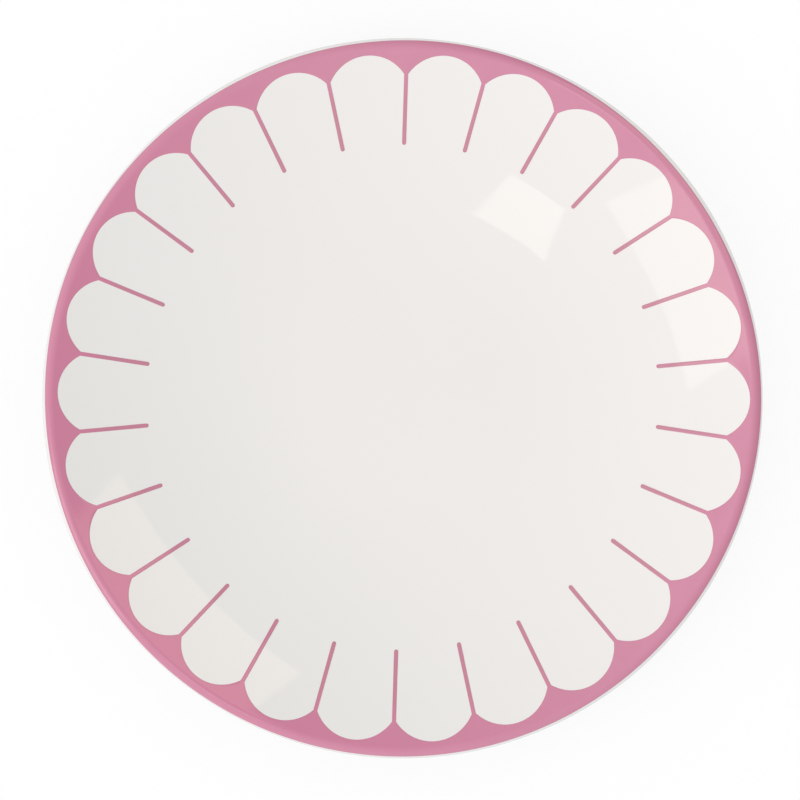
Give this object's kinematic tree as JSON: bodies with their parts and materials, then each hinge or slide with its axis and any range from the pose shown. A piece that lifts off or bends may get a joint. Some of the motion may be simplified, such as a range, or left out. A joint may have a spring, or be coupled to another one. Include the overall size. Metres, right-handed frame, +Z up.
{
  "type": "dessert plate",
  "caption": "Round coupe dessert plate of glazed porcelain on a foot ring, with a pink printed border of scalloped petals and fine lines between them.",
  "frame": {"origin": "centre of the foot ring's resting face, on the table the plate stands on", "axes": "+Z up along the plate's axis, out of the eating surface; +Y along one of the printed lines; +X to the right in the picture"},
  "size_m": [0.21, 0.21, 0.0233],
  "materials": {
    "porcelain": "bare fired body, matt, seen only on the foot ring",
    "white_glaze": "glossy ivory-white glaze",
    "pink_enamel": "glossy pink printed enamel"
  },
  "bodies": {
    "root": {"porcelain_body": "porcelain", "glaze_coat": "white_glaze", "foot_well_glaze": "white_glaze", "scallop_border": "pink_enamel"}
  },
  "joints": []
}
